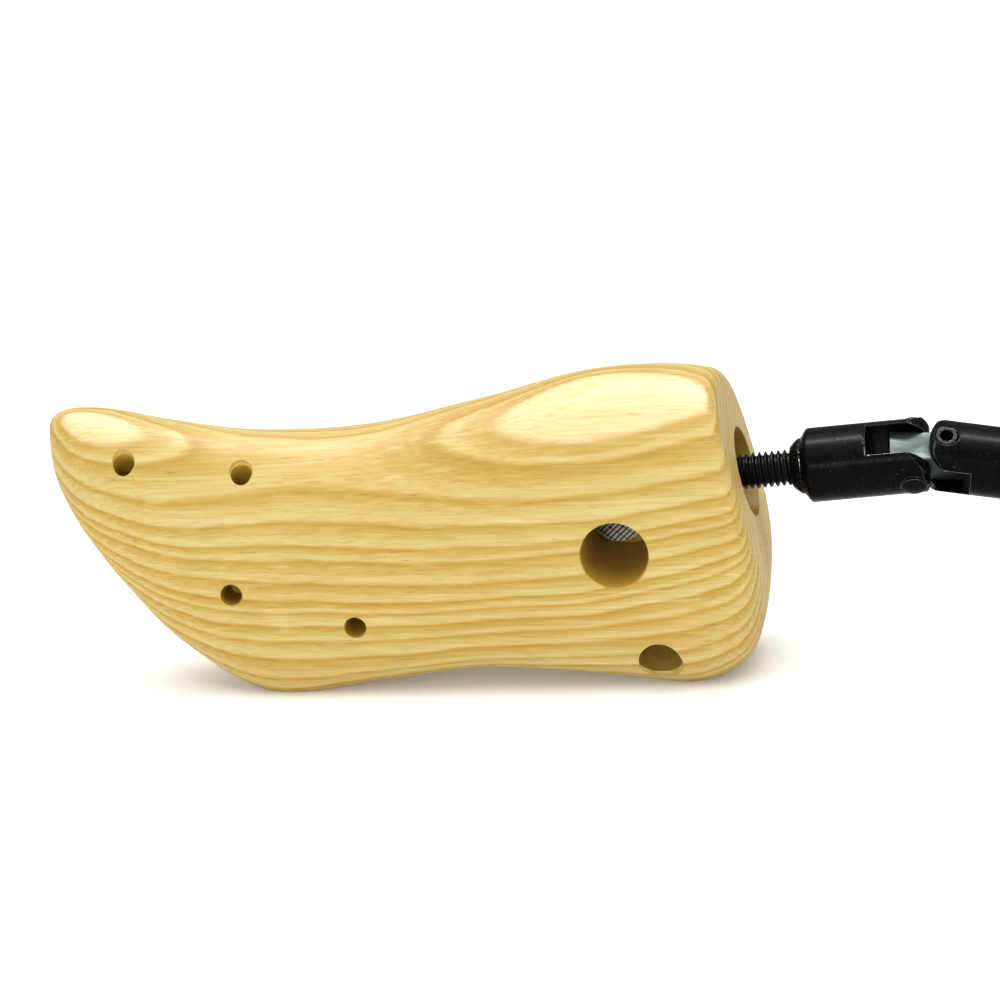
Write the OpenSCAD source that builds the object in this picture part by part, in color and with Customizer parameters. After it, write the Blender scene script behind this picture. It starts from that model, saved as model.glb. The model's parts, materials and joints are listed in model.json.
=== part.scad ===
// Boot stretcher: a foot-shaped wooden last sawn into two halves, which a screw and a wedge spread
// apart. The screw is turned through a two-pin universal joint by a long T-handle.
// Millimetres. +Z is up, +X points from the toe to the handle, and the seam is the plane y = 0.
// The last lies on its side edge, as it is put down on a table.

/* [Last] */
// Length of the last, from the toe tip to the middle of the rear face
last_len = 194; // [190:1:200]
// Slope of the sawn rear face, away from upright
rear_lean = 11; // [8:0.5:13]
// Rounding of the rear face's edge
rear_edge = 3; // [2:0.5:4]

/* [Holes] */
// Diameter of the holes that take the small stretching plugs
plug_hole_d = 6; // [5:0.5:7]
// Depth of the plug holes
plug_hole_depth = 14; // [10:1:15]
// Diameter of the hole in the lower edge
edge_hole_d = 12; // [10:0.5:13]
// Depth of the hole in the lower edge
edge_hole_depth = 13; // [10:0.5:14]
// Diameter of the hole that gives access to the barrel nut
access_hole_d = 18.7; // [17.5:0.1:19.5]
// Diameter of the bore that the screw enters by
rear_bore_d = 25; // [24.5:0.1:26]

/* [Screw and wedge] */
// Outside diameter of the screw
rod_d = 10; // [9.6:0.1:10]
// Height of the screw's axis at the rear face
rod_z = 54.8; // [54:0.1:56]
// Rise of the screw towards the handle, in degrees
rod_pitch = 3.5; // [2:0.5:4]
// Slope of the wedge and of the ramp it runs on, in degrees
ramp_angle = 23.6; // [20:0.1:24]
// Radial clearance of a shaft in its bore
run_gap = 0.05; // [0.02:0.01:0.1]

/* [Universal joint] */
// Diameter of the spindle's yoke
spindle_yoke_d = 20.5; // [20:0.1:21.5]
// Diameter of the handle's yoke
handle_yoke_d = 19.6; // [19:0.1:20.5]
// Distance from the rear face to the first pin, along the screw
first_pin = 45; // [44:0.5:48]
// Distance between the two pins
pin_gap = 8.5; // [8.5:0.1:9.5]
// Turn of the first pin about the screw's axis, at rest
pin_roll = 36; // [30:1:42]
// Bend about the first pin, at rest
rest_bend_1 = 10.7; // [9:0.1:12]
// Bend about the second pin, at rest
rest_bend_2 = -7.9; // [-9:0.1:-7]

/* [Handle] */
// Diameter of the handle's shaft
shaft_d = 12; // [10:0.5:13]
// Diameter of the grip sleeves
grip_d = 20; // [19:0.5:22]
// Length of the cross bar
bar_len = 92; // [80:1:110]

/* [Hidden] */
$fn = 64;

// Colours
pine = [0.86, 0.74, 0.48];
black_steel = [0.12, 0.12, 0.13];
bright_steel = [0.66, 0.66, 0.68];
bronze = [0.66, 0.50, 0.28];
spring_steel = [0.50, 0.50, 0.52];
black_plastic = [0.08, 0.08, 0.09];

// Sections of the last: distance from the rear face as a share of the length, then the heights of
// the top and the bottom, the reach of the instep side and of the sole side, and the crest's place
STATIONS = [
    [-1.006, 74.5, 72.0,  1.0,  0.8, -0.2],
    [-1.003, 77.0, 64.0,  5.0,  4.5, -1.5],
    [-0.991, 79.6, 57.0,  9.0,  7.5, -3.0],
    [-0.961, 81.0, 46.0, 13.5, 10.5, -4.5],
    [-0.907, 80.2, 31.0, 17.5, 13.5, -5.5],
    [-0.825, 76.7, 13.2, 21.0, 16.0, -6.5],
    [-0.701, 73.0, -1.4, 23.5, 18.0, -7.0],
    [-0.541, 73.3,  1.7, 26.0, 20.0, -7.0],
    [-0.387, 79.0,  5.0, 28.0, 22.0, -7.0],
    [-0.237, 85.6,  2.0, 29.0, 23.0, -7.0],
    [-0.134, 87.5, -1.2, 29.0, 23.0, -7.0],
    [-0.072, 87.2,  3.5, 28.5, 23.0, -7.0],
    [-0.036, 86.3, 12.0, 28.0, 22.5, -7.0],
    [-0.005, 84.7, 28.0, 27.0, 22.0, -7.0]
];
section_points = 44;
rings_per_station = 5;
rings_at_end = 10;
// Height of the section's widest level, as a share of its height
wide_level = 0.44;
// Exponents of the rounded section above and below the widest level
top_round = 2.4;
low_round = 3.0;
// The rear face leans about this height; the lean fades out over the length before it
lean_z = 54;
lean_start = -70;
lean_full = -8;
rear_x = STATIONS[len(STATIONS) - 1][0] * last_len;

// Drilled holes: a point at the mouth, and the elevation of the axis
plug_holes_at = [
    [-171.7, -17.4, 70.1, 45],
    [-138.6, -18.6, 66.5, 52],
    [-144.0, -23.1, 31.6,  5],
    [-109.6, -25.6, 21.8,  0]
];
edge_hole_at = [-25.7, -25.6, 8.7, -42];

// Hinge at the toe
hinge_x = -188;
hinge_z = [56.5, 73.5];
knuckle_z = [62.1, 67.9];
knuckle_r = 2.8;
leaf_t = 1.2;
leaf_end = -175.3;
leaf_screw_x = -179.5;
leaf_screw_z = [60, 70];
leaf_screw_r = 1.5;
// Depth in the instep half and in the sole half
leaf_screw_depth = [7, 4.5];
hinge_pin_r = 1.5;

// Wedge and ramp, measured along the screw from the rear face
nut_x = [-92, -74];
nut_far = 9;
nut_near = 7;
nut_half_h = 9.5;
ramp_gap = 1.25;
plate_t = 2;
ramp_x = [-93, -60];
fork_x = -75;
guide_x = [-93, -49];
ramp_slope = tan(ramp_angle);
nut_near_toe = nut_near + (nut_x[1] - nut_x[0]) * ramp_slope;
ramp_screw_x = [-88, -69];
ramp_screw_z = [0, 7.4];
plate_depth = plate_t / cos(ramp_angle);
guide_y = nut_far + 0.3;
pocket_half_h = nut_half_h + 0.5;

// Spindle bearing, its bolt and the barrel nut
bearing_x = [-21, -11];
lobe = [12, -11];
lobe_r = 7;
bolt_r = 3;
barrel_x = -38.5;
barrel_z = 41.7;
barrel_r = 8.25;
barrel_y = [5.4, 19];

// Return spring and its pins
spring_x = -62;
spring_z = 20;
spring_r = 3.8;
spring_wire = 1.2;
spring_y = [-12.4, 10.4];
spring_pin_y = [-14, 12];
spring_pin_r = 1.5;

// Universal joint
ear_reach = 4.5;
ear_chamfer = 1.4;
slot_half = 4.9;
block_half = 4.7;
block_reach = 5.4;
domed_pin_r = 3.5;
dome_h = 0.9;
tubular_pin_r = 2.9;
tubular_pin_bore = 1.5;
// Nose of the spindle's yoke: its face, its cone and the full diameter, along the screw
nose_x = [11.5, 14.5, 16.5];
nose_r = 7.7;
rod_end = 24;
spindle_slot_x = 33;
handle_slot = 8;
handle_yoke_len = 32;
shaft_start = 14;

// Handle
head_r = 8.5;
head_len = 22;
bar_r = 5;
grip_start = 14;
grip_r = grip_d / 2;

// A row of the joint chain's rotation, after a turn about the local X, Y or Z axis
function turn_x(r, a) = [r[0], r[1] * cos(a) + r[2] * sin(a), r[2] * cos(a) - r[1] * sin(a)];
function turn_y(r, a) = [r[0] * cos(a) - r[2] * sin(a), r[1], r[0] * sin(a) + r[2] * cos(a)];
function turn_z(r, a) = [r[0] * cos(a) + r[1] * sin(a), r[1] * cos(a) - r[0] * sin(a), r[2]];

// How far each local axis rises (up) and runs towards the handle (along): on the screw, the block
// between the pins, and the handle's shaft
rod_up = [sin(rod_pitch), 0, cos(rod_pitch)];
rod_along = [cos(rod_pitch), 0, -sin(rod_pitch)];
block_up = turn_y(turn_x(rod_up, pin_roll), rest_bend_1);
block_along = turn_y(turn_x(rod_along, pin_roll), rest_bend_1);
shaft_up = turn_z(block_up, rest_bend_2);
shaft_along = turn_z(block_along, rest_bend_2);
// The shaft is as long as it takes for the grips to touch the table
second_pin_z = rod_z + first_pin * rod_up[0] + pin_gap * block_up[0];
shaft_len = (second_pin_z - grip_r) / -shaft_up[0];
// Turn of the cross bar about the shaft that lays it level
bar_roll = atan2(-shaft_up[1], shaft_up[2]);
// The origin is on the table, midway between the toe tip and the far side of the grips
reach = first_pin * rod_along[0] + pin_gap * block_along[0] + shaft_len * shaft_along[0] + grip_r;
mid_x = (reach + STATIONS[0][0] * last_len) / 2;

// ---- Last ----

function spline(a, b, c, d, u) =
    0.5 * (2 * b + u * (c - a + u * (2 * a - 5 * b + 4 * c - d + u * (3 * b - a - 3 * c + d))));

function station(t) =
    let (
        last = len(STATIONS) - 1,
        i = min(floor(t), last - 1),
        before = i == 0 ? 2 * STATIONS[0] - STATIONS[1] : STATIONS[i - 1],
        after = i == last - 1 ? 2 * STATIONS[last] - STATIONS[last - 1] : STATIONS[i + 2]
    )
    spline(before, STATIONS[i], STATIONS[i + 1], after, t - i);

function smooth(u) = let (v = max(0, min(1, u))) v * v * (3 - 2 * v);

function power(v, p) = sign(v) * pow(abs(v), p);

function end_inset(x) =
    let (d = min(rear_edge, max(0, x - rear_x + rear_edge)))
    rear_edge - sqrt(rear_edge * rear_edge - d * d);

function section(s) =
    let (
        x = s[0] * last_len,
        inset = end_inset(x),
        mid_z = s[2] + wide_level * (s[1] - s[2]),
        lean = smooth((x - lean_start) / (lean_full - lean_start)) * tan(rear_lean)
    )
    [
        for (k = [0 : section_points - 1])
            let (
                a = 360 * (k + 0.5) / section_points,
                p = 2 / (sin(a) > 0 ? top_round : low_round),
                half_w = max(0.2, (cos(a) > 0 ? s[4] - s[5] : s[3] + s[5]) - inset),
                half_h = max(0.2, (sin(a) > 0 ? s[1] - mid_z : mid_z - s[2]) - inset),
                z = mid_z + half_h * power(sin(a), p)
            )
            [x - lean * (z - lean_z), s[5] + half_w * power(cos(a), p), z]
    ];

module last_solid() {
    last = len(STATIONS) - 1;
    steps = concat(
        [for (i = [0 : (last - 1) * rings_per_station - 1]) i / rings_per_station],
        [for (i = [0 : rings_at_end]) last - 1 + sin(90 * i / rings_at_end)]
    );
    m = section_points;
    n = len(steps);
    points = [for (t = steps) each section(station(t))];
    sides = [
        for (i = [0 : n - 2]) for (k = [0 : m - 1])
            let (a = i * m + k, b = i * m + (k + 1) % m)
            each [[a, b + m, b], [a, a + m, b + m]]
    ];
    toe_cap = [[for (k = [0 : m - 1]) k]];
    rear_cap = [[for (k = [m - 1 : -1 : 0]) (n - 1) * m + k]];
    polyhedron(points, concat(sides, toe_cap, rear_cap), convexity = 4);
}

// Half-space on one side of the seam, above the table
module half_space(side) {
    translate([-last_len - 20, side < 0 ? -60 : 0, 0]) cube([last_len + 50, 60, 120]);
}

module model() {
    translate([-mid_x, 0, 0]) children();
}

// Frame of the screw: local X runs along its axis, from the rear face to the handle
module on_rod() {
    translate([0, 0, rod_z]) rotate([0, -rod_pitch, 0]) children();
}

module along_x(x, r) {
    translate([x[0], 0, 0]) rotate([0, 90, 0]) cylinder(h = x[1] - x[0], r = r);
}

module along_y(y, r) {
    translate([0, y[0], 0]) rotate([-90, 0, 0]) cylinder(h = y[1] - y[0], r = r);
}

// Hole of a given depth below a point on the instep side; its axis points out at the given elevation
module drilled(x, y, z, elevation, r, depth) {
    translate([x, y, z]) rotate([-elevation, 0, 0]) along_y([-15, depth], r);
}

module screw_way() {
    on_rod() {
        along_x([-27, 30], rear_bore_d / 2);
        along_x([-99, -20], rod_d / 2 + 1.5);
    }
}

module hinge_pocket(side) {
    height = hinge_z[1] - hinge_z[0] + 0.8;
    translate([hinge_x, 0, hinge_z[0] - 0.4]) {
        cylinder(h = height, r = knuckle_r + 0.4);
        translate([0, side < 0 ? -leaf_t - 0.4 : -1, 0])
            cube([leaf_end - hinge_x + 0.3, leaf_t + 1.4, height]);
    }
}

module spring_way(y, pin_y) {
    translate([spring_x, 0, spring_z]) along_y(y, spring_r + 0.8);
    translate([spring_x, pin_y, -5]) cylinder(h = spring_z + 11, r = spring_pin_r);
}

// Bores for the screws that hold a hinge leaf
module leaf_screw_bores(side, depth) {
    for (z = leaf_screw_z) translate([leaf_screw_x, 0, z])
        along_y(side < 0 ? [-leaf_t - depth, 0] : [0, leaf_t + depth], leaf_screw_r);
}

// Ramp screws stand square to the ramp
module on_ramp(x) {
    translate([x, -ramp_y(x), 0]) rotate([0, 0, ramp_angle]) children();
}

function ramp_y(x) = nut_near_toe + ramp_gap - (x - nut_x[0]) * ramp_slope;

module instep_half() {
    color(pine) model() difference() {
        intersection() {
            last_solid();
            half_space(-1);
        }
        screw_way();
        on_rod() wedge_pocket();
        on_rod() ramp_screw_bodies();
        translate([-35.5, 0, barrel_z]) along_y([-40, 1], access_hole_d / 2);
        plug_holes();
        drilled(edge_hole_at[0], edge_hole_at[1], edge_hole_at[2], edge_hole_at[3],
            edge_hole_d / 2, edge_hole_depth);
        hinge_pocket(-1);
        leaf_screw_bores(-1, leaf_screw_depth[0]);
        spring_way([spring_pin_y[0] - 2.5, 1], spring_pin_y[0]);
        toe_relief();
    }
}

// Room for the ramp plate, and for the wedge when the halves are closed
module wedge_pocket() {
    toe_x = ramp_x[0] - 1.5;
    end_x = ramp_x[1] + 0.5;
    mouth_x = guide_x[1] + 2;
    translate([0, 0, -pocket_half_h]) linear_extrude(2 * pocket_half_h)
        polygon([
            [toe_x, 1], [toe_x, -ramp_y(toe_x) - plate_depth],
            [end_x, -ramp_y(end_x) - plate_depth], [mouth_x, -1], [mouth_x, 1]
        ]);
}

module plug_holes() {
    for (hole = plug_holes_at)
        drilled(hole[0], hole[1], hole[2], hole[3], plug_hole_d / 2, plug_hole_depth);
}

// Relief in front of the hinge, so that the toe can rock open
module toe_relief() {
    translate([hinge_x, 0, 0]) linear_extrude(120)
        polygon([[0, 1], [-20, 1], [-20, -1.9], [0, -0.1]]);
}

module sole_half() {
    color(pine) model() difference() {
        intersection() {
            last_solid();
            half_space(1);
        }
        screw_way();
        on_rod() {
            translate([guide_x[0] - 1.5, -1, -pocket_half_h])
                cube([guide_x[1] - guide_x[0] + 2, guide_y + plate_t + 1, 2 * pocket_half_h]);
            bearing_pocket();
            guide_screw_bodies();
        }
        translate([barrel_x, 0, barrel_z]) along_y([-1, barrel_y[1]], barrel_r);
        translate([-35.5, 0, barrel_z]) along_y([-1, 8], access_hole_d / 2);
        hinge_pocket(1);
        leaf_screw_bores(1, leaf_screw_depth[1]);
        spring_way([-1, spring_pin_y[1] + 2.5], spring_pin_y[1]);
    }
}

// Room for the bearing's lobe, and the bore of its bolt
module bearing_pocket() {
    x = [bearing_x[0] - 0.5, -4.5];
    r = lobe_r + 0.3;
    translate([0, lobe[0], lobe[1]]) {
        along_x(x, r);
        along_x([-51, x[0] + 1], bolt_r + 0.3);
    }
    translate([x[0], -1, lobe[1] - r]) cube([x[1] - x[0], lobe[0] + 1, 2 * r]);
}

// ---- Toe hinge ----

module knuckle(z, bore) {
    translate([hinge_x, 0, z[0]]) difference() {
        cylinder(h = z[1] - z[0], r = knuckle_r);
        translate([0, 0, -1]) cylinder(h = z[1] - z[0] + 2, r = bore);
    }
}

// Leaf plate on one side of the seam, with its screw holes
module leaf_plate(side) {
    y = side < 0 ? -leaf_t - 0.15 : 0.15;
    difference() {
        translate([hinge_x + knuckle_r + 0.3, y, hinge_z[0]])
            cube([leaf_end - hinge_x - knuckle_r - 0.3, leaf_t, hinge_z[1] - hinge_z[0]]);
        for (z = leaf_screw_z) translate([leaf_screw_x, 0, z]) along_y([-3, 3], leaf_screw_r + 0.1);
    }
}

// Strip that joins a knuckle to the leaf plate
module leaf_web(side, z) {
    y = side < 0 ? -leaf_t - 0.15 : 0.15;
    difference() {
        translate([hinge_x, y, z[0]]) cube([knuckle_r + 0.5, leaf_t, z[1] - z[0]]);
        translate([hinge_x, 0, z[0] - 1]) cylinder(h = z[1] - z[0] + 2, r = knuckle_r - 0.5);
    }
}

module hinge_leaf_sole() {
    color(bright_steel) model() {
        leaf_plate(1);
        leaf_web(1, knuckle_z);
        knuckle(knuckle_z, hinge_pin_r);
    }
}

module hinge_leaf_instep() {
    low = [hinge_z[0], knuckle_z[0] - 0.15];
    high = [knuckle_z[1] + 0.15, hinge_z[1]];
    color(bright_steel) model() {
        leaf_plate(-1);
        for (z = [low, high]) {
            leaf_web(-1, z);
            knuckle(z, hinge_pin_r + run_gap);
        }
    }
}

module hinge_pin() {
    color(bright_steel) model()
        translate([hinge_x, 0, hinge_z[0]]) cylinder(h = hinge_z[1] - hinge_z[0], r = hinge_pin_r);
}

// Screws cut flush with the leaf
module leaf_screws(side, depth) {
    for (z = leaf_screw_z) translate([leaf_screw_x, 0, z])
        along_y(side < 0 ? [-leaf_t - depth + 0.2, -0.15] : [0.15, leaf_t + depth - 0.2], leaf_screw_r);
}

module hinge_screws_sole() {
    color(bright_steel) model() leaf_screws(1, leaf_screw_depth[1]);
}

module hinge_screws_instep() {
    color(bright_steel) model() leaf_screws(-1, leaf_screw_depth[0]);
}

// ---- Spindle bearing ----

module spindle_bearing() {
    color(black_steel) model() on_rod() difference() {
        union() {
            along_x(bearing_x, rear_bore_d / 2 - 0.3);
            translate([0, lobe[0], lobe[1]]) along_x(bearing_x, lobe_r);
        }
        along_x([bearing_x[0] - 1, bearing_x[1] + 1], rod_d / 2 + run_gap);
        translate([0, lobe[0], lobe[1]]) along_x([bearing_x[0] - 1, bearing_x[1] + 1], bolt_r + 0.1);
    }
}

module bearing_bolt() {
    color(bright_steel) model() on_rod() translate([0, lobe[0], lobe[1]]) {
        along_x([-48, bearing_x[1]], bolt_r);
        difference() {
            along_x([bearing_x[1], bearing_x[1] + 5.5], 5);
            along_x([bearing_x[1] + 2.5, bearing_x[1] + 6], 2.5, $fn = 6);
        }
    }
}

module barrel_nut() {
    color(bright_steel) model() difference() {
        translate([barrel_x, 0, barrel_z]) along_y([barrel_y[0], barrel_y[1] - 0.2], barrel_r - 0.05);
        on_rod() translate([0, lobe[0], lobe[1]]) along_x([-60, -20], bolt_r);
    }
}

// ---- Wedge, ramp and guide ----

module wedge_nut() {
    color(bright_steel) model() on_rod() difference() {
        translate([0, 0, -nut_half_h]) linear_extrude(2 * nut_half_h)
            polygon([
                [nut_x[0], nut_far], [nut_x[1], nut_far], [nut_x[1], -nut_near], [nut_x[0], -nut_near_toe]
            ]);
        along_x([nut_x[0] - 1, nut_x[1] + 1], rod_d / 2 + run_gap);
    }
}

// Forked plate: the screw passes between its two legs
module ramp_plate() {
    color(bright_steel) model() on_rod() difference() {
        translate([0, 0, -nut_half_h]) linear_extrude(2 * nut_half_h)
            polygon([
                [ramp_x[0], -ramp_y(ramp_x[0])], [ramp_x[1], -ramp_y(ramp_x[1])],
                [ramp_x[1], -ramp_y(ramp_x[1]) - plate_depth], [ramp_x[0], -ramp_y(ramp_x[0]) - plate_depth]
            ]);
        translate([fork_x, -30, -rod_d / 2 - 0.7]) cube([30, 40, rod_d + 1.4]);
        ramp_screw_bodies();
    }
}

module countersunk(head_r, shank_r, length) {
    rotate([90, 0, 0]) {
        cylinder(h = 1.6, r1 = head_r, r2 = shank_r);
        cylinder(h = length, r = shank_r);
    }
}

module ramp_screw_bodies() {
    on_ramp(ramp_screw_x[0]) translate([0, 0, ramp_screw_z[0]]) countersunk(3.2, 1.6, 7);
    for (z = [-ramp_screw_z[1], ramp_screw_z[1]])
        on_ramp(ramp_screw_x[1]) translate([0, 0, z]) countersunk(1.9, 1.1, 8);
}

module ramp_screws() {
    color(bright_steel) model() on_rod() ramp_screw_bodies();
}

module guide_plate() {
    color(bright_steel) model() on_rod() difference() {
        translate([guide_x[0], guide_y, -nut_half_h])
            cube([guide_x[1] - guide_x[0], plate_t, 2 * nut_half_h]);
        guide_screw_bodies();
    }
}

module guide_screw_bodies() {
    for (x = [guide_x[0] + 6, guide_x[1] - 6])
        translate([x, guide_y, 0]) mirror([0, 1, 0]) countersunk(3.2, 1.6, 7.5);
}

module guide_screws() {
    color(bright_steel) model() on_rod() guide_screw_bodies();
}

// ---- Return spring ----

// Outer shape of the coil
module return_spring() {
    color(spring_steel) model() translate([spring_x, 0, spring_z]) difference() {
        along_y(spring_y, spring_r);
        along_y([spring_y[0] - 1, spring_y[1] + 1], spring_r - spring_wire);
    }
}

module spring_pin(y) {
    color(bright_steel) model() translate([spring_x, y, 8]) cylinder(h = spring_z - 2.5, r = spring_pin_r);
}

// ---- Spindle ----

module threaded_rod() {
    color(black_steel) model() on_rod() along_x([-97, rod_end], rod_d / 2);
}

module ring_on_rod(x, r) {
    difference() {
        along_x(x, r);
        along_x([x[0] - 1, x[1] + 1], rod_d / 2);
    }
}

module thrust_collars() {
    color(black_steel) model() on_rod() {
        ring_on_rod([bearing_x[1] + 0.9, bearing_x[1] + 4.9], 8);
        ring_on_rod([bearing_x[0] - 4.9, bearing_x[0] - 0.9], 8);
    }
}

module thrust_washers() {
    color(bronze) model() on_rod() {
        ring_on_rod([bearing_x[1] + 0.05, bearing_x[1] + 0.85], 9);
        ring_on_rod([bearing_x[0] - 0.85, bearing_x[0] - 0.05], 9);
    }
}

// ---- Universal joint ----

module on_first_pin() {
    on_rod() translate([first_pin, 0, 0]) rotate([pin_roll, 0, 0]) children();
}

module on_block() {
    on_first_pin() rotate([0, rest_bend_1, 0]) children();
}

module on_second_pin() {
    on_block() translate([pin_gap, 0, 0]) rotate([0, 0, rest_bend_2]) children();
}

// Turned chamfer at the tips of the ears
module ear_cone(r) {
    translate([ear_reach - ear_chamfer, 0, 0]) rotate([0, 90, 0])
        cylinder(h = ear_chamfer + 1, r1 = r, r2 = r - ear_chamfer - 1);
}

// Yoke about a pin along local Y: a round bar with a slot, its ears rounded about the pin.
// The bar runs from the ears' tips at +ear_reach back to -back.
module yoke(d, back, slot_depth, pin_r) {
    r = d / 2;
    difference() {
        union() {
            along_x([-back, ear_reach - r], r);
            intersection() {
                union() {
                    along_x([ear_reach - r - 1, ear_reach - ear_chamfer], r);
                    ear_cone(r);
                }
                translate([ear_reach - r, 0, 0]) along_y([-r - 1, r + 1], r);
            }
        }
        translate([-slot_depth, -slot_half, -r - 1]) cube([slot_depth + r, 2 * slot_half, d + 2]);
        along_y([-r - 1, r + 1], pin_r);
    }
}

module spindle_yoke() {
    color(black_steel) model() on_first_pin() {
        difference() {
            union() {
                yoke(spindle_yoke_d, first_pin - nose_x[2], first_pin - spindle_slot_x, domed_pin_r);
                translate([-first_pin, 0, 0]) along_x([nose_x[0], nose_x[1]], nose_r);
                translate([nose_x[1] - first_pin, 0, 0]) rotate([0, 90, 0])
                    cylinder(h = nose_x[2] - nose_x[1], r1 = nose_r, r2 = spindle_yoke_d / 2);
            }
            along_x([-first_pin, rod_end - first_pin], rod_d / 2);
        }
    }
}

// Rivet with a low dome at each end
module domed_pin() {
    flat = spindle_yoke_d / 2 - 0.2;
    dome_r = (domed_pin_r * domed_pin_r + dome_h * dome_h) / (2 * dome_h);
    rim_angle = asin(domed_pin_r / dome_r);
    dome = [for (k = [0 : 6])
        let (a = rim_angle * (1 - k / 6))
        [dome_r * sin(a), flat + dome_h - dome_r * (1 - cos(a))]];
    color(black_steel) model() on_first_pin() rotate([-90, 0, 0])
        rotate_extrude() polygon(concat(dome, [for (k = [6 : -1 : 0]) [dome[k][0], -dome[k][1]]]));
}

module pivot_block() {
    color(bright_steel) model() on_block() difference() {
        translate([-block_reach, -block_half, -block_half])
            cube([pin_gap + 2 * block_reach, 2 * block_half, 2 * block_half]);
        along_y([-10, 10], domed_pin_r + run_gap);
        translate([pin_gap, 0, -10]) cylinder(h = 20, r = tubular_pin_r + run_gap);
    }
}

module tubular_pin() {
    half = handle_yoke_d / 2 - 0.1;
    color(black_steel) model() on_second_pin() difference() {
        translate([0, 0, -half]) cylinder(h = 2 * half, r = tubular_pin_r);
        translate([0, 0, -half - 1]) cylinder(h = 2 * half + 2, r = tubular_pin_bore);
    }
}

module handle_yoke() {
    color(black_steel) model() on_second_pin() difference() {
        rotate([0, 0, 180]) rotate([90, 0, 0])
            yoke(handle_yoke_d, handle_yoke_len, handle_slot, tubular_pin_r);
        along_x([shaft_start, handle_yoke_len + 1], shaft_d / 2);
    }
}

// ---- Handle ----

module handle_shaft() {
    color(black_steel) model() on_second_pin()
        along_x([shaft_start, shaft_len - head_len / 2 + 4], shaft_d / 2);
}

// Frame of the cross bar: local Y runs along it
module on_bar() {
    on_second_pin() translate([shaft_len, 0, 0]) rotate([bar_roll, 0, 0]) children();
}

module handle_head() {
    color(black_steel) model() on_bar() difference() {
        along_x([-head_len / 2, head_len / 2 - 2.5], head_r);
        along_x([-head_len / 2 - 1, -head_len / 2 + 4], shaft_d / 2);
        along_y([-head_r - 1, head_r + 1], bar_r);
    }
}

module t_bar() {
    color(black_steel) model() on_bar() along_y([-bar_len / 2, bar_len / 2], bar_r);
}

module grip_sleeves() {
    color(black_plastic) model() on_bar() for (turn = [0, 180]) rotate([0, 0, turn])
        difference() {
            along_y([grip_start, bar_len / 2 + 3], grip_r);
            along_y([grip_start - 1, bar_len / 2], bar_r);
        }
}

sole_half();
instep_half();
hinge_leaf_sole();
hinge_leaf_instep();
hinge_pin();
hinge_screws_sole();
hinge_screws_instep();
spindle_bearing();
bearing_bolt();
barrel_nut();
guide_plate();
guide_screws();
ramp_plate();
ramp_screws();
return_spring();
spring_pin(spring_pin_y[1]);  // spring_pin_sole
spring_pin(spring_pin_y[0]);  // spring_pin_instep
threaded_rod();
thrust_collars();
thrust_washers();
wedge_nut();
spindle_yoke();
domed_pin();
pivot_block();
tubular_pin();
handle_yoke();
handle_shaft();
handle_head();
t_bar();
grip_sleeves();
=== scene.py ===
import itertools
import json
import math

import bmesh
import bpy
from mathutils import Matrix, Vector
from mathutils.bvhtree import BVHTree


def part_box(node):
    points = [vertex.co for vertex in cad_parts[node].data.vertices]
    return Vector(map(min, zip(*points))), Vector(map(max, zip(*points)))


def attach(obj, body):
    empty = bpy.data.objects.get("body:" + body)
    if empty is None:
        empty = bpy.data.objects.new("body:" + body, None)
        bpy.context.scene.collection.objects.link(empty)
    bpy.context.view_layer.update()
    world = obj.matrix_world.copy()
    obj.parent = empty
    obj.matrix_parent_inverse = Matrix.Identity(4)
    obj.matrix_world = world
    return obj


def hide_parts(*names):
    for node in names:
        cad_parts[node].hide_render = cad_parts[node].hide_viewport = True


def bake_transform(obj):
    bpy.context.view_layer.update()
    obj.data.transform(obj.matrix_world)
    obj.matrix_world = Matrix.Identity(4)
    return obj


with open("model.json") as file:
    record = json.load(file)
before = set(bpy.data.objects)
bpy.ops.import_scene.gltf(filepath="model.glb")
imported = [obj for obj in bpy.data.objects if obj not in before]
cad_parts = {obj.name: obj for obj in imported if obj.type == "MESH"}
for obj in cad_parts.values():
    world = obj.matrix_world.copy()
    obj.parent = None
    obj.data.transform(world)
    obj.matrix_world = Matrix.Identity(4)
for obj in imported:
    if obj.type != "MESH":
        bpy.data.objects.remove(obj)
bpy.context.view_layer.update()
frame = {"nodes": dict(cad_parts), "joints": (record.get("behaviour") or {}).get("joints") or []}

# A boot stretcher: a pine last sawn into two halves, a screw and wedge that spread them, and a
# universal joint that leads to a T-handle. Lengths are in millimetres inside the local frames,
# whose matrices scale to the metres of the shared frame.
MM = 0.001

# ---- Local frames, all taken from the CAD model's joints and boxes ----

joints = {joint["name"]: joint for joint in frame["joints"]}


def centre(node):
    low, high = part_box(node)
    return (low + high) / 2


def local_frame(origin, x_axis, y_axis):
    """Millimetre frame with these two axes; Z completes a right-handed set."""
    x = Vector(x_axis).normalized()
    z = x.cross(Vector(y_axis)).normalized()
    y = z.cross(x)
    basis = Matrix((x, y, z)).transposed().to_4x4()
    return Matrix.Translation(origin) @ basis @ Matrix.Scale(MM, 4)


rod_start = Vector(joints["screw_turn"]["pos_m"])
rod_axis = Vector(joints["screw_turn"]["axis"])
first_pin = Vector(joints["joint_bend_1"]["pos_m"])
first_axis = Vector(joints["joint_bend_1"]["axis"])
second_pin = Vector(joints["joint_bend_2"]["pos_m"])
second_axis = Vector(joints["joint_bend_2"]["axis"])
shaft_axis = (centre("t_bar") - second_pin).normalized()

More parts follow.
